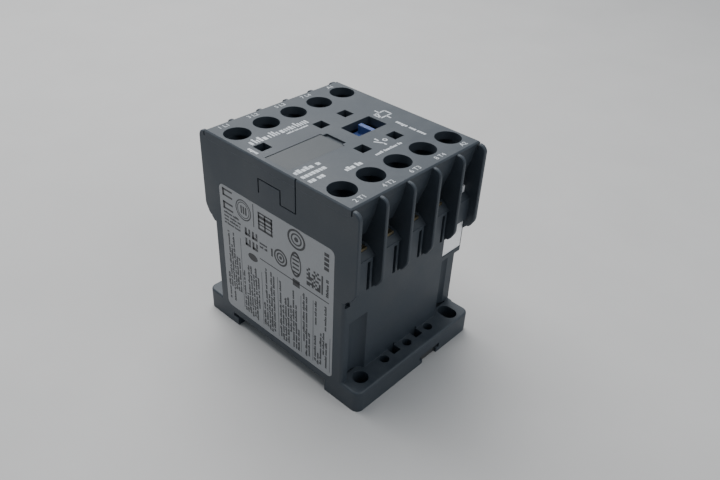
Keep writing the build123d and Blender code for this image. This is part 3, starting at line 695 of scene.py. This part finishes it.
class CONTACTOR_OT_front_marks(ContactorOperator):
    """Print the plain marks on the front face"""

    bl_idname = "contactor.front_marks"
    bl_label = "Front face marks"

    def execute(self, context):
        depth = context.scene.contactor_print.thickness
        tool = bmesh.new()
        place = front_place()
        draw = Random(41)
        self.name_bar(tool, place, depth)
        for x, y, length, height in FRONT_LINES:
            small_print(tool, place, (x * MM, y * MM), length * MM, height * MM, depth, draw)
        for x, y, length, height in FRONT_UPRIGHT_LINES:
            small_print(tool, place, (x * MM, y * MM), length * MM, height * MM, depth, draw, upright=True)
        x, y, length, height = NAME_UNDERLINE
        small_print(tool, place, (x * MM, y * MM), length * MM, height * MM, depth, draw)
        self.coil_sign(tool, place, depth)
        self.contact_sign(tool, place, depth)
        finish_piece("front_marks", tool, bpy.data.materials["Front ink"])
        return {"FINISHED"}

    def name_bar(self, tool, place, depth):
        """A row of plain upright bars where a name would be."""
        draw = Random(5)
        x = NAME_LEFT
        while x < NAME_RIGHT:
            width = draw.choice((0.45, 0.45, 0.7, 1.0))
            tall = draw.choice((1.5, 1.5, 1.7, 2.4))
            bars(tool, place, depth, ((x, x + width, NAME_BOTTOM, NAME_BOTTOM + tall),))
            x += width + draw.choice((0.35, 0.35, 0.6))

    def coil_sign(self, tool, place, depth):
        """The plain circuit sign of a coil, for the coil's column."""
        left, right, low, high = (13.9 * MM, 17.9 * MM, 0.2 * MM, 2.6 * MM)
        middle = (left + right) / 2
        width = 0.42 * MM
        corners = [(left, low), (right, low), (right, high), (left, high)]
        for i in range(4):
            stroke(tool, place, corners[i - 1], corners[i], width, depth)
        stroke(tool, place, (middle, high), (middle, high + 1.5 * MM), width, depth)
        stroke(tool, place, (middle, low), (middle, low - 1.5 * MM), width, depth)
        stroke(tool, place, (left, low), (left + 1.3 * MM, high), width, depth)

    def contact_sign(self, tool, place, depth):
        """The plain circuit sign of a closing contact."""
        x = 4.2 * MM
        width = 0.45 * MM
        stroke(tool, place, (x, -6.5 * MM), (x, -7.6 * MM), width, depth)
        stroke(tool, place, (x, -10.2 * MM), (x, -9.3 * MM), width, depth)
        stroke(tool, place, (x, -9.3 * MM), (x - 1.2 * MM, -7.4 * MM), width, depth)
        ring(tool, place, (x + 1.5 * MM, -8.4 * MM), 0.5 * MM, 0.3 * MM, depth, steps=16)


class CONTACTOR_OT_label_print(ContactorOperator):
    """Print plain signs, rules and small print on the side label"""

    bl_idname = "contactor.label_print"
    bl_label = "Label print"

    def execute(self, context):
        settings = context.scene.contactor_print
        tool = bmesh.new()
        self.signs(tool, settings.thickness)
        self.lines(tool, settings.thickness, settings.line_pitch)
        finish_piece("label_print", tool, bpy.data.materials["Label ink"])
        return {"FINISHED"}

    def signs(self, tool, depth):
        """Plain squares, rings and bars in the upper half."""
        place = label_place()
        draw = Random(7)
        for low, high in ((41.3, 43.5), (37.5, 39.7)):
            edges = ((low, low + 0.5), (high - 0.5, high))
            bars(tool, place, depth, [(-19.0, -15.2, *edge) for edge in edges])
            bars(tool, place, depth, ((-19.0, -18.3, low, high),))
        bars(tool, place, depth, [(x, x + 0.5, 39.2, 41.4) for x in (-12.1, -11.25, -10.4)])
        rows = ((42.2, 42.6), (40.9, 41.7), (39.8, 40.3), (39.0, 39.3), (37.6, 38.2))
        bars(tool, place, depth, [(-5.6, -0.4, *row) for row in rows])
        bars(tool, place, depth, [(x, x + 0.5, 37.9, 42.4) for x in (-5.6, -3.4, -1.0)])
        bars(tool, place, depth, [(16.9, 18.4, y, y + 0.9) for y in (37.8, 39.1, 40.4, 41.7)])
        for x, y in ((-10.9, 33.4), (-8.2, 33.4), (-10.9, 30.3), (-8.2, 30.3)):
            foot = (x, x + 2.0, y, y + 0.75)
            posts = ((x, x + 0.7, y, y + 2.2), (x + 1.4, x + 2.0, y + 0.9, y + 2.2))
            bars(tool, place, depth, (foot, *posts))
        bars(tool, place, depth, [(6.4, 8.6, y, y + 0.5) for y in (31.4, 32.6, 33.8, 35.0, 36.1)])
        bars(tool, place, depth, LABEL_BARS)
        for x, y, radius, width, aspect in LABEL_RINGS:
            ring(tool, place, (x * MM, y * MM), radius * MM, width * MM, depth, aspect)
        for x, y, radius, aspect in LABEL_SPOTS:
            dot(tool, place, (x * MM, y * MM), radius * MM, depth, aspect)
        self.check_square(tool, place, depth, draw)
        small_print(tool, place, (18.4 * MM, 30.3 * MM), 5.4 * MM, 0.8 * MM, depth, draw, upright=True)
        for v in (36.3, 35.25, 34.2, 33.15):
            small_print(tool, place, (-18.9 * MM, v * MM), 6.6 * MM, 0.62 * MM, depth, draw)
        for v in (33.4, 32.3):
            small_print(tool, place, (-5.4 * MM, v * MM), 3.6 * MM, SMALL_LETTER, depth, draw)

    def check_square(self, tool, place, depth, draw):
        """A square of plain random cells."""
        cell = 0.58 * MM
        for row in range(9):
            for column in range(8):
                if draw.random() < 0.52:
                    x = 11.2 * MM + column * cell
                    y = 30.3 * MM + row * cell
                    slab(tool, place, (x, x + cell * 0.98), (y, y + cell * 0.98), depth)

    def lines(self, tool, depth, pitch):
        """Upright lines of small print in blocks, with thin rules between the blocks."""
        place = label_place()
        draw = Random(19)
        for left, right, bottom, top in LABEL_BLOCKS:
            x = left * MM + pitch * 0.7
            while x < right * MM:
                start = bottom + draw.choice((0.0, 0.0, 0.6, 4.5))
                length = (top - start) * draw.choice((1.0, 1.0, 0.82, 0.62, 0.4))
                at = (x, start * MM)
                small_print(tool, place, at, length * MM, SMALL_LETTER, depth, draw, upright=True)
                x += pitch
            bars(tool, place, depth, ((right + 0.35, right + 0.47, bottom, top - 0.5),))
        for x in (14.6, 17.9):
            at = (x * MM, 19.8 * MM)
            small_print(tool, place, at, 7.6 * MM, SMALL_LETTER, depth, draw, upright=True)


class CONTACTOR_OT_coil_turns(ContactorOperator):
    """Wind the coil: rows of wire in place of the plain ring"""

    bl_idname = "contactor.coil_turns"
    bl_label = "Coil turns"

    def execute(self, context):
        settings = context.scene.contactor_coil
        low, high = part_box("coil_winding")
        centre = (low + high) / 2
        size = high - low
        tool = bmesh.new()
        edges = self.open_box(tool, centre, size)
        upright = [e for e in edges if abs(e.verts[0].co.z - e.verts[1].co.z) > size.z / 2]
        bmesh.ops.bevel(
            tool, geom=upright, offset=settings.corner, offset_type="OFFSET", affect="EDGES",
            segments=7, profile=0.5, material=-1,
        )
        self.wind(tool, low, centre, size, settings)
        inner_size = Vector((size.x - 2 * settings.build, size.y - 2 * settings.build, size.z))
        self.open_box(tool, centre, inner_size)
        for height in (low.z, high.z):
            open_edges = [e for e in tool.edges if e.is_boundary]
            rim = [e for e in open_edges if all(abs(v.co.z - height) < 1e-6 for v in e.verts)]
            bmesh.ops.bridge_loops(tool, edges=rim)
        bmesh.ops.triangulate(tool, faces=[f for f in tool.faces if len(f.verts) > 4])
        piece = finish_piece("coil_turns", tool, bpy.data.materials["Enamelled copper"], smooth=True)
        piece.data.set_sharp_from_angle(angle=SMOOTH_ANGLE * 2)
        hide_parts("coil_winding")
        return {"FINISHED"}

    def open_box(self, tool, centre, size):
        """The four upright walls of a box; returns their edges."""
        place = Matrix.Translation(centre) @ Matrix.Diagonal((size.x, size.y, size.z, 1.0))
        made = bmesh.ops.create_cube(tool, size=1.0, matrix=place)["verts"]
        faces = {f for v in made for f in v.link_faces}
        ends = [f for f in faces if abs(f.normal.z) > 0.5]
        bmesh.ops.delete(tool, geom=ends, context="FACES_ONLY")
        return list({e for v in made for e in v.link_edges})

    def wind(self, tool, low, centre, size, settings):
        """Cut the wall into rows and draw it in between them."""
        step = size.z / settings.turns
        for row in range(settings.turns):
            for share in (0.0, 0.2, 0.5, 0.8):
                height = low.z + (row + share) * step
                if height > low.z + 1e-6:
                    geom = tool.verts[:] + tool.edges[:] + tool.faces[:]
                    bmesh.ops.bisect_plane(
                        tool, geom=geom, dist=1e-7, plane_co=(0, 0, height), plane_no=(0, 0, 1)
                    )
        for vert in tool.verts:
            share = ((vert.co.z - low.z) / step) % 1.0
            rise = sin(pi * min(max(share, 0.0), 1.0)) ** 0.6
            pull = settings.groove * (1.0 - rise)
            out = Vector((vert.co.x - centre.x, vert.co.y - centre.y))
            grown = Vector((out.x * (1 - 2 * pull / size.x), out.y * (1 - 2 * pull / size.y)))
            vert.co.x = centre.x + grown.x
            vert.co.y = centre.y + grown.y


class CONTACTOR_OT_inks(ContactorOperator):
    """Mix the two inks of the printed marks"""

    bl_idname = "contactor.inks"
    bl_label = "Inks"

    def execute(self, context):
        settings = context.scene.contactor_print
        moulding = context.scene.contactor_moulding
        printed_ink("Front ink", settings.ink, solid(moulding.housing, 2.6))
        printed_ink("Label ink", settings.label_ink, solid(settings.label, 0.35))
        return {"FINISHED"}


class CONTACTOR_OT_stage(ContactorOperator):
    """Set the floor, the soft lights and the camera"""

    bl_idname = "contactor.stage"
    bl_label = "Stage"

    def execute(self, context):
        settings = context.scene.contactor_stage
        self.floor(settings)
        self.light("Key light", settings.key, KEY_PLACE, KEY_SIDE)
        self.light("Fill light", settings.fill, FILL_PLACE, FILL_SIDE)
        world = bpy.data.worlds.new("Even light")
        world.use_nodes = True
        sky = world.node_tree.nodes["Background"]
        sky.inputs["Color"].default_value = SKY
        sky.inputs["Strength"].default_value = settings.ambient
        context.scene.world = world
        self.camera(context, settings)
        return {"FINISHED"}

    def floor(self, settings):
        """A wide plain floor just under the base."""
        tool = bmesh.new()
        bmesh.ops.create_grid(tool, x_segments=1, y_segments=1, size=FLOOR_REACH)
        mesh = bpy.data.meshes.new("floor")
        tool.to_mesh(mesh)
        tool.free()
        material, tree, shader = start_material("Pale floor", roughness=0.7)
        cloud = noise(tree, object_place(tree), 30.0, 5.0, 0.6)
        tone = mix_colours(tree, cloud, solid(settings.floor, 0.94), solid(settings.floor, 1.06))
        tree.links.new(tone, shader.inputs["Base Color"])
        mesh.materials.append(material)
        floor = bpy.data.objects.new("floor", mesh)
        bpy.context.scene.collection.objects.link(floor)

    def light(self, name, power, place, side):
        """A square soft light that looks at the object."""
        lamp = bpy.data.lights.new(name, "AREA")
        lamp.energy = power
        lamp.size = side
        holder = bpy.data.objects.new(name, lamp)
        holder.location = place
        view = Vector(LIGHTS_AIM) - Vector(place)
        holder.rotation_euler = view.to_track_quat("-Z", "Y").to_euler()
        bpy.context.scene.collection.objects.link(holder)

    def camera(self, context, settings):
        """The camera, from its direction, roll and distance."""
        a, e, r = settings.azimuth, settings.elevation, settings.roll
        back = Vector((sin(a) * cos(e), -cos(a) * cos(e), sin(e)))
        right = Vector((cos(a), sin(a), 0.0))
        up = back.cross(right)
        side = right * cos(r) + up * sin(r)
        top = up * cos(r) - right * sin(r)
        lens = bpy.data.cameras.new("camera")
        lens.lens = settings.lens
        lens.sensor_width = 36.0
        lens.clip_start = 0.005
        holder = bpy.data.objects.new("camera", lens)
        turn = Matrix((side, top, back)).transposed().to_4x4()
        holder.matrix_world = Matrix.Translation(Vector(settings.target) + back * settings.distance) @ turn
        context.scene.collection.objects.link(holder)
        context.scene.camera = holder


class CONTACTOR_PT_panel(bpy.types.Panel):
    """Lists the contactor's settings and operators"""

    bl_idname = "CONTACTOR_PT_panel"
    bl_label = "Contactor"
    bl_space_type = "VIEW_3D"
    bl_region_type = "UI"
    bl_category = "Contactor"

    def draw(self, context):
        for name in SETTINGS:
            box = self.layout.box()
            group = getattr(context.scene, name)
            for title in group.bl_rna.properties.keys():
                if title not in ("rna_type", "name"):
                    box.prop(group, title)
        for operator in STEPS:
            self.layout.operator(operator.bl_idname)


SETTINGS = {
    "contactor_moulding": ContactorMoulding,
    "contactor_print": ContactorPrint,
    "contactor_coil": ContactorCoil,
    "contactor_stage": ContactorStage,
}
STEPS = (
    CONTACTOR_OT_finishes,
    CONTACTOR_OT_inks,
    CONTACTOR_OT_numbers,
    CONTACTOR_OT_front_marks,
    CONTACTOR_OT_label_print,
    CONTACTOR_OT_coil_turns,
    CONTACTOR_OT_stage,
)


def register():
    for cls in (*SETTINGS.values(), *STEPS, CONTACTOR_PT_panel):
        bpy.utils.register_class(cls)
    for name, group in SETTINGS.items():
        setattr(bpy.types.Scene, name, PointerProperty(type=group))


def unregister():
    for name in SETTINGS:
        delattr(bpy.types.Scene, name)
    for cls in reversed((*SETTINGS.values(), *STEPS, CONTACTOR_PT_panel)):
        bpy.utils.unregister_class(cls)


def main():
    register()
    bpy.ops.contactor.finishes()
    bpy.ops.contactor.inks()
    bpy.ops.contactor.numbers()
    bpy.ops.contactor.front_marks()
    bpy.ops.contactor.label_print()
    bpy.ops.contactor.coil_turns()
    bpy.ops.contactor.stage()


if __name__ == "__main__":
    main()
